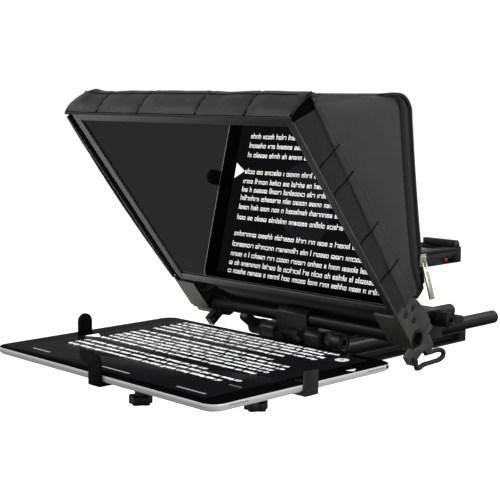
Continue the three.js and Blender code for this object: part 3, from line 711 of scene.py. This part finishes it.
def make_shell():
    """Both sides, the roof and the back as one sheet, with the zip's gussets and the lens hole."""
    rows = []
    across = 44
    for i in range(len(PATH)):
        profile = side_profile(i)
        out = outward(PATH, i)
        half = HOOD_SIDE + profile[-1][0]
        row = [Vector((HOOD_SIDE + d, y, z)) for d, y, z in profile]
        for k in range(1, across):
            x = half - 2 * half * k / across
            wide = math.cos(math.pi * x / (2 * half))
            sag = -1.6 * wide if i > BACK_TOP + 8 else 0.9 * wide
            sag += 1.3 * ripple((x, PATH[i][0], PATH[i][1]), 52, 7.7) * wide ** 0.5
            row.append(Vector((x, PATH[i][0] + out[0] * sag, PATH[i][1] + out[1] * sag)))
        row += [Vector((-HOOD_SIDE - d, y, z)) for d, y, z in reversed(profile)]
        rows.append(row)
    shell = sheet_mesh("hood_shell", rows, LEATHER, 1.4, -1.0)
    shell.data.materials.append(NYLON)
    shell.data.materials.append(LINING)
    shell.data.materials.append(GROOVE_SHADE_CLOTH)
    columns = len(rows[0]) - 1
    side_columns = PANEL_COLUMNS + GUSSET_COLUMNS + ROLL_COLUMNS
    back_end, gusset_end = BACK_TOP + 6, BACK_TOP + 13
    for number, polygon in enumerate(shell.data.polygons):
        i, k = divmod(number, columns)
        from_side = min(k, columns - 1 - k)
        if from_side >= side_columns and i < back_end:
            polygon.material_index = 1
        elif PANEL_COLUMNS <= from_side < side_columns and i < gusset_end:
            # the ribbed strip gets the gusset cloth; the grooves, zip edge and rolled edge get the darker
            # cloth as painted shade
            strip = PANEL_COLUMNS + 4 <= from_side <= PANEL_COLUMNS + 17
            polygon.material_index = 2 if strip else 3
    flip_outward(shell)
    return cut_lens_hole(apply_modifiers(shell))


def flip_outward(obj):
    """Turns the faces so that the sheet's thickness goes to the inside."""
    centre = Vector((0, -0.17, 0.18))
    turned = sum((p.center - centre).dot(p.normal) * p.area for p in obj.data.polygons)
    if turned < 0:
        obj.data.flip_normals()


def cut_lens_hole(shell):
    bpy.ops.mesh.primitive_cylinder_add(vertices=96, radius=(LENS_RADIUS - 1) * MM, depth=0.08,
                                        location=(0, -0.125, LENS_Z * MM), rotation=(math.pi / 2, 0, 0))
    cutter = bpy.context.object
    hole = shell.modifiers.new("lens_hole", "BOOLEAN")
    hole.operation = "DIFFERENCE"
    hole.object = cutter
    apply_modifiers(shell)
    bpy.data.objects.remove(cutter)
    return shell


shell = make_shell()
on_hood(shell)
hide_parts("hood_side_right", "hood_side_left", "hood_roof", "hood_rear")


def offset_path(inset, first, last, side, lift=0.0):
    """A line on a side face that keeps inset millimetres inside the hood's rear outline."""
    made = []
    for i in range(first, last + 1):
        out = Vector(outward(PATH, i))
        width = inset * min(1.0, gusset_width(i) / GUSSET)
        p = Vector(PATH[i]) - out * width
        made.append(Vector((side * (HOOD_SIDE + 0.2 + lift), p.x, p.y)))
    return made


def zip_teeth(travelled):
    """How the coil's thickness swells and narrows with each tooth."""
    return 1.0 + 0.22 * math.sin(2 * math.pi * travelled / 1.7)


def make_zip(side, label):
    """The coil and the stitched gusset along one rear edge of the hood."""
    coil_line = resample(offset_path(1.7, 3, 41, side, 0.1), 0.42)
    whole = sum((b - a).length for a, b in zip(coil_line, coil_line[1:]))
    coil = tube(f"zip_coil_{label}", coil_line, 1.6, COIL, 10,
                lambda travelled: zip_teeth(travelled) * min(1.0, 0.12 + (whole - travelled) / 22))
    on_hood(coil)
    seams = ((6.4, 0.75), (10.6, 0.75), (14.6, -0.2))  # each line's inset and lift
    lines = [resample(offset_path(inset, 4, 40, side, lift), 3) for inset, lift in seams]
    thread = stitches(f"gusset_stitching_{label}", lines, lambda p: Vector((side, 0, 0)), BINDING, 3.0, 2.0)
    on_hood(thread)
    return coil


right_coil = make_zip(1, "right")
make_zip(-1, "left")
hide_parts("zip_tape")


# ---------- front bands of the hood ----------

BAND_SEAMS = (174.0, 144.8, 89.0, 47.0)
BAND_PROFILE = ((-2.2, -2.6), (-0.6, -3.6), (0.6, -3.4), (1.0, -2.4), (1.1, 0), (1.35, 4), (1.45, 9),
                (1.35, 14), (1.1, 18), (0.8, 22), (0.6, 25.2))  # out of the side and behind the front, mm


BAND_FOOT, BAND_LONG, BAND_WIDE = 4.5, 216.5, 25
BAND_SLOPE = 7.5  # the band ends this much lower at its rear edge
BINDING_REAR = 28.6


def binding_front(up):
    """How far back the smooth binding starts: it widens towards the foot."""
    return 9.0 + 14.0 * (up / 215.0)


def seam_dip(up, seams, width=1.6):
    """How far the cloth is drawn in at this height by the seams across it, from 0 to 1."""
    return sum(math.exp(-((up - s) / width) ** 2) for s in seams)


def make_side_band(side, label):
    """Ribbed webbing along one upright: it puffs between its seams, and the left one flares out."""
    rows, steps = [], 74
    for i in range(steps + 1):
        puff = 1.0 - 0.9 * min(1, seam_dip(BAND_FOOT + BAND_LONG * i / steps, BAND_SEAMS))
        flare = (2.0 + 5.0 * math.sin(math.pi * i / steps)) if side < 0 else 0.0
        row = []
        for out, back in BAND_PROFILE:
            up = BAND_FOOT + (BAND_LONG - BAND_SLOPE * max(0.0, back) / BAND_WIDE) * i / steps
            front = max(0.0, 1 - (back + 3.6) / 14)
            swell = max(out, 0) * puff + min(out, 0)
            wave = 0.5 * ripple((0, back, up), 30, 4 + side) * (1 if back > 0 else 0.3)
            row.append(tilted(side * (HOOD_SIDE + swell + flare * front + wave), back, up))
        rows.append(row)
    band = sheet_mesh(f"side_webbing_{label}", rows, WEBBING, 1.2, -1.0 if side > 0 else 1.0)
    apply_modifiers(band)
    on_hood(band)
    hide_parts(f"hood_side_band_{label}")


def make_binding(side, label):
    """The smooth strip behind the webbing, with its stitching, the band's seams and the front piping."""
    joints = (174.0, 145.0, 89.0, 44.0)
    foot, top, steps, columns = 2.0, 219.0, 89, 8
    rows = []
    for i in range(steps + 1):
        up = foot + (top - foot) * i / steps
        front = binding_front(up)
        row = []
        for k in range(columns + 1):
            t = k / columns
            crown = math.sin(math.pi * t) ** 0.5
            height = 1.5 + 0.55 * crown * (1 - 0.75 * min(1, seam_dip(up, joints, 1.1)))
            back = front + (BINDING_REAR - front) * t + 0.25 * ripple((0, 0, up), 12, 5)
            row.append(tilted(side * (HOOD_SIDE + height + 0.3 * ripple((0, back, up), 25, 9)), back, up))
        rows.append(row)
    strip = sheet_mesh(f"side_binding_{label}", rows, BINDING, 0.9, -1.0 if side > 0 else 1.0)
    on_hood(apply_modifiers(strip))
    lines = []
    for inset, edge in ((1.3, binding_front), (-1.3, lambda up: BINDING_REAR)):
        lines.append([tilted(side * (HOOD_SIDE + 2.0), edge(up) + inset, up) for up in range(6, 218, 4)])
    thread = stitches(f"binding_stitching_{label}", lines, lambda p: Vector((side, 0, 0)), BINDING)
    on_hood(thread)
    for number, up in enumerate(joints):
        line = []
        for back in range(-2, 29):
            lift = 1.5 if back < binding_front(up) else 2.3
            line.append(tilted(side * (HOOD_SIDE + lift), back, up + 0.4 * math.sin(back / 3)))
        on_hood(tube(f"band_seam_{number + 1}_{label}", line, 0.45, SHADOW_CLOTH, 6))
    # The front piping: a pale tube whose colour is partly painted highlight along the front edge.
    edge = [tilted(side * (HOOD_SIDE + 0.9 + 0.3 * ripple((0, 0, up), 14, 3)), -3.3, up)
            for up in range(5, 222, 3)]
    on_hood(tube(f"front_piping_{label}", edge, 0.6, PIPING_PAINTED_HIGHLIGHT, 8))


for side, label in SIDES:
    make_side_band(side, label)
    make_binding(side, label)

FLAP_SEAMS = (-102.0, -42.5, 35.0, 95.5)
FLAP_PROFILE = ((-2.8, 224.4), (-3.4, 224.6), (-3.7, 225.3), (-3.4, 226.1), (-2.4, 226.7), (-0.6, 227.1),
                (1.8, 227.4), (5, 227.8), (9, 228.2), (13, 228.4), (17, 228.4), (21, 228.2), (24.5, 227.9),
                (27.5, 227.3), (30, 226.4), (32.5, 225.2))  # behind the front and up, mm


FLAP_HALF = 149.0


def seam_lean(back):
    """The flap's seams run slightly inwards towards the back."""
    return 4.6 * (back / 25)


def flap_point(x, k):
    """The top flap's surface: padded cells between sewn seams, at point k of its profile."""
    back, up = FLAP_PROFILE[k]
    t = k / (len(FLAP_PROFILE) - 1)
    near = min(abs(x + seam_lean(back) - s) for s in FLAP_SEAMS)
    swell = min(1.0, max(0.0, back + 1.5) / 7)
    puff = 1.5 * min(1.0, near / 16) ** 0.6 * swell * math.sin(math.pi * min(1, 0.2 + t * 0.9))
    puff -= 1.2 * math.exp(-(near / 0.9) ** 2) * min(1.0, max(0.0, back + 3) / 3)
    puff += 0.9 * ripple((x, back, 0), 24, 2.2) * swell
    puff += 0.6 * ripple((x, back * 3, 0), 9, 6.1) * math.exp(-(near / 9) ** 2) * swell
    rise = 0.9 * ripple((x, 0, 0), 40, 8.8) * t
    ends = -0.020 * max(0.0, abs(x) - 142.0) ** 2 * (0.4 + t)
    rise += 2.4 * math.exp(-((x + 136.0) / 8.0) ** 2) * t
    x -= 3.4 * max(0.0, (-x - 134.0) / 15.0) * math.sin(math.pi * min(1.0, 1.1 * t))
    return tilted(x, back, up) + UP_AXIS * (puff + rise + ends)


def make_top_flap():
    """The padded flap over the top rail, with its stitching, its seams and two creases."""
    steps = 150
    xs = [-FLAP_HALF + 2 * FLAP_HALF * i / steps for i in range(steps + 1)]
    rows = [[flap_point(x, k) for k in range(len(FLAP_PROFILE))] for x in xs]
    flap = sheet_mesh("top_flap", rows, FLAP_SHADED_LEATHER, 1.1, -1.0)
    if sum(p.normal.z * p.area for p in flap.data.polygons) < 0:
        flap.data.flip_normals()
    apply_modifiers(flap)
    on_hood(flap)
    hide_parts("hood_top_band")
    hem = [[flap_point(x, 5) for x in range(-147, 148, 3)]]
    on_hood(stitches("flap_stitching", hem, lambda p: UP_AXIS, THREAD, 3.2))
    for number, s in enumerate(FLAP_SEAMS):
        line = [flap_point(s - seam_lean(FLAP_PROFILE[k][0]), k) + UP_AXIS * 0.8 for k in range(4, 12)]
        seam = tube(f"flap_seam_{number + 1}", resample(line, 1.5), 0.5, SHADOW_CLOTH, 6)
        on_hood(seam)
    # The two creases are thin tubes of shadow cloth: painted shade along the folds.
    for number, (k, r, end) in enumerate(((4, 0.35, 147), (12, 0.45, 138))):
        line = [flap_point(x, k) + UP_AXIS * 0.1 for x in range(-end, end + 1, 3)]
        on_hood(tube(f"flap_crease_{number + 1}", line, r, SHADOW_CLOTH, 6))


make_top_flap()


def make_corner_fold(side, label):
    """Painted shade: a fold of near-black shadow cloth where the top flap meets the side band, for the
    shade in that corner.
    """
    rows = []
    for i in range(9):
        t = i / 8
        row = []
        for k in range(7):
            s = k / 6
            up = 208.5 + 19.2 * s
            back = -1.5 + 31 * t
            bend = 1.6 * math.sin(math.pi * t) ** 0.7 * math.sin(math.pi * s) ** 0.7
            row.append(tilted(side * (HOOD_SIDE + 0.4 - 1.4 * s - bend), back, up))
        rows.append(row)
    fold = apply_modifiers(sheet_mesh(f"corner_fold_{label}", rows, SHADOW_CLOTH, 0.9, 0.0))
    on_hood(fold)


for side, label in SIDES:
    make_corner_fold(side, label)


# ---------- hood floor and lens cuff ----------


BELLY = ((-131.2, 88.0), (-129.0, 81.6), (-126.4, 76.4), (-121.6, 70.6), (-115.2, 67.8), (-109.0, 64.6),
         (-105.2, 60.8), (-103.2, 57.6), (-101.4, 56.6), (-100.6, 59.6), (-101.2, 67.0), (-103.2, 76.0),
         (-106.2, 87.2), (-108.8, 94.0), (-110.4, 98.0))  # y, z of the slack cloth, front to back
BELLY_HALF, FLOOR_HALF = 116.5, 146.2  # x where the slack part ends, and the whole cloth


def make_floor():
    """Slack cloth under the hood.

    Between the brackets it bellies down to the cross tube, and outside them it lies level.
    """
    front, rear = Vector((0, *BELLY[0])), Vector((0, *BELLY[-1]))
    rows, columns = [], 122
    for i, (y, z) in enumerate(BELLY):
        t = i / (len(BELLY) - 1)
        row = []
        for k in range(columns + 1):
            x = -FLOOR_HALF + 2 * FLOOR_HALF * k / columns
            slack = min(1.0, max(0.0, (BELLY_HALF - abs(x)) / 7)) ** 0.6
            level = front.lerp(rear, t)
            edge = math.sin(math.pi * t) ** 0.6
            folds = 0.8 * ripple((x, 20 * t, 0), 34, 5) + 0.5 * ripple((x + 40 * t, 0, 0), 12, 9)
            crease = edge * slack * folds
            row.append(Vector((x, level.y + (y - level.y) * slack,
                               level.z + (z + crease - level.z) * slack)))
        rows.append(row)
    cloth = apply_modifiers(sheet_mesh("hood_floor_cloth", rows, FLOOR_CLOTH, 0.9, 0.0))
    on_hood(cloth)
    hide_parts("hood_floor")


make_floor()


def make_cuff():
    """Elastic cuff: cloth gathered round the lens opening."""
    around, rows = 192, []
    profile = ((49.6, -124.6), (49.3, -121), (48.6, -117), (47.4, -113), (45.8, -109.4), (43.9, -106.2),
               (42.4, -104.3), (41.2, -103.9), (40.6, -104.6), (40.4, -106.5))  # radius and y
    for i in range(around):
        angle = 2 * math.pi * i / around
        row = []
        for k, (radius, y) in enumerate(profile):
            t = k / (len(profile) - 1)
            gather = math.sin(math.pi * min(1, t * 1.15)) ** 0.8
            fold = 0.9 * math.sin(30 * angle + 1.3 * math.sin(5 * angle)) + 0.5 * math.sin(47 * angle + 2)
            r = radius + gather * fold * 0.8
            row.append(Vector((r * math.cos(angle), y + 0.25 * fold * t, LENS_Z + r * math.sin(angle))))
        rows.append(row)
    obj = apply_modifiers(sheet_mesh("lens_cuff_cloth", rows, NYLON, 1.0, 0.0, close_rows=True))
    on_hood(obj)
    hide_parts("lens_cuff")
    seam, seam_radius, sides = [], 50.6, 96
    for i in range(sides + 1):
        angle = 2 * math.pi * i / sides
        p = Vector((seam_radius * math.cos(angle), 0, LENS_Z + seam_radius * math.sin(angle)))
        t = (p.z - REAR_FOOT[1]) / (REAR_TOP[1] - REAR_FOOT[1])
        p.y = back_point(t)[0] + 0.8
        seam.append(p)
    ring = tube("cuff_seam", seam, 0.9, LINING, 8)
    on_hood(ring)


make_cuff()


# ---------- ribbed grips, tablet details ----------


def ribbed_sleeve(name, body, x0, x1, y, z, radius, ribs=26):
    """A moulded grip with fine lengthwise ribs round a lever's hub."""
    around, rows = ribs * 6, []
    for x, shrink in ((x0, 0.5), (x0 + 0.5, 0.1), (x0 + 0.9, 0), (x1 - 0.9, 0), (x1 - 0.5, 0.1), (x1, 0.5)):
        row = []
        for i in range(around):
            angle = 2 * math.pi * i / around
            tooth = 0.5 + 0.5 * math.tanh(2.5 * math.sin(ribs * angle))
            r = radius + 0.55 * tooth - shrink
            row.append(Vector((x, y + r * math.cos(angle), z + r * math.sin(angle))))
        rows.append(row)
    turns = [2 * math.pi * i / around for i in range(around)]
    bore = radius - 0.9
    for x in (rows[-1][0].x, rows[0][0].x):
        rows.append([Vector((x, y + bore * math.cos(turn), z + bore * math.sin(turn))) for turn in turns])
    obj = grid_mesh(name, rows, PLASTIC, close_rows=True, close_columns=True)
    if x1 < x0:
        obj.data.flip_normals()
    on(obj, body)


GRIP_X, GRIP_Z, GRIP_RADIUS = (43.4, 50.2), 36.7, 8.05
GRIP_Y = {"front": -115.68, "rear": 56.0}
for side, label in SIDES:
    for end, y in GRIP_Y.items():
        ribbed_sleeve(f"{end}_grip_{label}", f"{end}_lever_{label}", side * GRIP_X[0], side * GRIP_X[1],
                      y, GRIP_Z, GRIP_RADIUS)

PANEL_TOP = 36.0
MARK_Z = (PANEL_TOP + 0.03, PANEL_TOP + 0.07)  # the lit marks float just over the glass
PROMPT_ROWS = (
    (-303.5, 93.4), (-293.4, 101.5), (-283.1, 49.3),
    (-265.1, 93.9), (-254.6, 97.2), (-245.5, 96.0), (-236.4, 97.4), (-226.6, 95.0), (-215.4, 64.1),
    (-197.9, 68.9), (-186.4, 92.1), (-176.0, 94.7), (-166.4, 86.3), (-157.6, 92.0),
)  # y of each row of the prompt and where it ends in x, mm
PROMPT_LEFT = -122.0


def slab_on_screen(verts, faces, corners):
    """Adds a flat raised shape on the tablet's face."""
    start, n = len(verts), len(corners)
    verts += [(x, y, z) for z in MARK_Z for x, y in corners]
    faces.append(tuple(range(start + n, start + 2 * n)))
    faces.append(tuple(reversed(range(start, start + n))))
    for k in range(n):
        a, b = start + k, start + (k + 1) % n
        faces.append((a, b, b + n, a + n))


def box_corners(x0, x1, y0, y1):
    return [(x0, y0), (x1, y0), (x1, y1), (x0, y1)]


def make_prompt():
    """Rows of word-shaped marks that stand for text: no real letters."""
    chance = random.Random(7)
    verts, faces = [], []
    x_height, stem, bar, tail = 3.7, 0.72, 0.7, 2.0
    letter_gap, word_gap = 0.95, 2.6

    def stroke(x0, x1, y0, y1):
        slab_on_screen(verts, faces, box_corners(x0, x1, y0, y1))

    for y, end in PROMPT_ROWS:
        x = PROMPT_LEFT
        while x < end - 5:
            letters = min(chance.choice((1, 2, 3, 3, 4, 4, 5, 5, 6, 7, 8, 9)), int((end - x) / 3.4))
            for _ in range(max(1, letters)):
                wide = chance.choice((0.9, 2.5, 2.9, 3.1, 3.2, 4.6))
                front, rear = y - x_height / 2, y + x_height / 2
                kind = chance.random()
                if wide < 2:
                    stroke(x, x + wide, front - (tail if kind < 0.6 else 0), rear)
                else:
                    middle = y + chance.uniform(-0.5, 0.5)
                    left, right = x + stem, x + wide - stem
                    stroke(x, left, front - (tail if kind < 0.15 else 0), rear)
                    stroke(right, x + wide, front, rear)
                    stroke(left, right, front, front + bar)
                    if kind > 0.45:
                        stroke(left, right, rear - bar, rear)
                    if kind > 0.7:
                        stroke(left, right, middle - 0.3, middle + 0.3)
                x += wide + letter_gap
            x += word_gap
    cue = [(-137.0, -274.3), (-123.0, -266.0), (-137.0, -257.6)]
    slab_on_screen(verts, faces, cue)
    prompt = new_mesh("prompt_rows", verts, faces, PROMPT, smooth=False)
    prompt.visible_diffuse = False
    on(prompt, "tablet")


def make_status_marks():
    """Dim marks round the prompt: a status bar, icons, a painted glint on the bezel drawn as a small lit
    triangle, and a round on-screen control.
    """
    chance = random.Random(11)
    verts, faces = [], []
    for x0, x1 in ((-124, -97.7), (-19, 18), (80, 115)):
        x = x0
        while x < x1:
            wide = chance.uniform(1.0, 2.2)
            slab_on_screen(verts, faces, box_corners(x, min(x + wide, x1), -344.6, -342.4))
            x += wide + 0.45
    on(new_mesh("status_bar", verts, faces, STATUS, smooth=False), "tablet")
    verts, faces = [], []
    for x in range(105, 119, 3):
        slab_on_screen(verts, faces, box_corners(x, x + 2.0, -309.6, -306.8))
    on(new_mesh("status_icons", verts, faces, MARK, smooth=False), "tablet")
    verts, faces = [], []
    # Painted highlight: a small lit triangle on the bezel beside the screen, standing for a glint.
    slab_on_screen(verts, faces, [(137.0, -200.0), (144.0, -196.5), (138.6, -188.0)])
    cx, cy, outer, inner = 107.3, -170.8, 6.6, 1.9
    for turn in range(3):  # the control is three arcs of a ring
        start, end = math.radians(120 * turn + 4), math.radians(120 * turn + 116)
        angles = [start + (end - start) * k / 9 for k in range(10)]
        outline = [(cx + outer * math.cos(a), cy + outer * math.sin(a)) for a in angles]
        outline += [(cx + inner * math.cos(a), cy + inner * math.sin(a)) for a in reversed(angles)]
        slab_on_screen(verts, faces, outline)
    on(new_mesh("screen_control_and_glint", verts, faces, CONTROL, smooth=False), "tablet")


make_prompt()
make_status_marks()


def make_edge_holes():
    """Speaker slots, a port and pin dots on the tablet's silver edge, as thin dark plastic caps: painted
    shade for the depth of the holes.
    """
    verts, faces = [], []
    x = 145.86
    slot_z, pitch = 33.4, 2.5

    def pill(y, z, wide, tall):
        start = len(verts)
        count = 12
        bulge = wide / 2 - tall / 2
        for depth in (0.06, -0.05):
            for k in range(count):
                a = 2 * math.pi * k / count
                verts.append((x + depth, y + math.copysign(bulge, math.cos(a)) + tall / 2 * math.cos(a),
                              z + tall / 2 * math.sin(a)))
        faces.append(tuple(range(start, start + count)))
        for k in range(count):
            a, b = start + k, start + (k + 1) % count
            faces.append((a, a + count, b + count, b))

    for k in range(9):
        pill(-347 + pitch * k, slot_z, 1.3, 1.3)
        pill(-179 + pitch * k, slot_z, 1.3, 1.3)
    pill(-254, 33.2, 8.6, 2.6)
    pill(-153.5, slot_z, 3.6, 3.4)
    on(new_mesh("tablet_edge_holes", verts, faces, PLASTIC, smooth=False), "tablet")


make_edge_holes()


def make_home_ring():
    """The thin metal ring round the tablet's button."""
    cx, cy, around = 135.35, -253.7, 48
    angles = [2 * math.pi * i / around for i in range(around)]
    rows = []
    for radius, z in ((5.65, 35.95), (5.55, 36.05), (5.25, 36.07), (4.95, 36.0), (4.85, 35.92)):
        rows.append([Vector((cx + radius * math.cos(a), cy + radius * math.sin(a), z)) for a in angles])
    ring = grid_mesh("home_ring", rows, DARK_STEEL, close_columns=True, close_rows=True)
    on(ring, "tablet")


make_home_ring()


# ---------- floor, lights, world ----------


def make_stage():
    """A pale floor that only the camera sees."""
    bpy.ops.mesh.primitive_plane_add(size=30, location=(0, 0, -0.55))
    floor = bpy.context.object
    floor.name = "floor"
    r = Recipe("pale_floor", (0.9, 0.9, 0.9), 0.8)
    r.shader.inputs["Emission Color"].default_value = (1, 1, 1, 1)
    r.shader.inputs["Emission Strength"].default_value = 0.9
    r.tint(r.noise(400, 2), 0.98, 1.0)
    floor.data.materials.append(r.material)
    floor.visible_glossy = False
    floor.visible_diffuse = False


def area_light(name, place, target, size, power, mirrored=True):
    data = bpy.data.lights.new(name, "AREA")
    data.shape = "DISK"
    data.size = size
    data.energy = power
    light = bpy.data.objects.new(name, data)
    light.location = place
    light.rotation_euler = (Vector(target) - Vector(place)).to_track_quat("-Z", "Y").to_euler()
    light.visible_glossy = mirrored
    scene.collection.objects.link(light)
    return light


def shade_from(light, pieces):
    """A flag beside the light keeps it off these pieces."""
    flag = bpy.data.collections.new(light.name + "_flag")
    light.light_linking.receiver_collection = flag
    for obj in pieces:
        flag.objects.link(obj)
    for member in flag.collection_objects:
        member.light_linking.link_state = "EXCLUDE"


def make_world():
    """White to the camera; to everything else a room that is dark below and bright above."""
    world = bpy.data.worlds.new("studio")
    world.use_nodes = True
    tree = world.node_tree
    tree.nodes.clear()

    def add(kind):
        return tree.nodes.new("ShaderNode" + kind)

    out, path, mix = add("OutputWorld"), add("LightPath"), add("MixShader")
    place, split, ramp = add("TexCoord"), add("SeparateXYZ"), add("MapRange")
    white, room = add("Background"), add("Background")
    for background in (white, room):
        background.inputs["Color"].default_value = (1, 1, 1, 1)
    white.inputs["Strength"].default_value = 1.05
    ramp.interpolation_type = "SMOOTHSTEP"
    for socket, value in (("From Min", -0.5), ("From Max", 0.1), ("To Min", 0.036), ("To Max", 0.42)):
        ramp.inputs[socket].default_value = value
    link = tree.links.new
    link(place.outputs["Generated"], split.inputs[0])
    link(split.outputs["Z"], ramp.inputs[0])
    link(ramp.outputs[0], room.inputs["Strength"])
    link(path.outputs["Is Camera Ray"], mix.inputs[0])
    link(room.outputs[0], mix.inputs[1])
    link(white.outputs[0], mix.inputs[2])
    link(mix.outputs[0], out.inputs["Surface"])
    scene.world = world


make_stage()
area_light("key", (-1.1, -1.7, 1.5), (0, -0.15, 0.15), 1.3, 20)
area_light("right_fill", (2.0, -0.5, 0.8), (0, -0.1, 0.12), 1.1, 22)
area_light("rear_rim", (0.6, 1.7, 1.5), (0, 0, 0.12), 1.0, 14)
low_left = area_light("low_left", (-0.62, -0.7, -0.12), (-0.14, -0.18, 0.14), 0.35, 16,
                      mirrored=False)
shade_from(low_left, [nodes["tablet_shell"]])
make_world()
scene.view_settings.view_transform = "Standard"
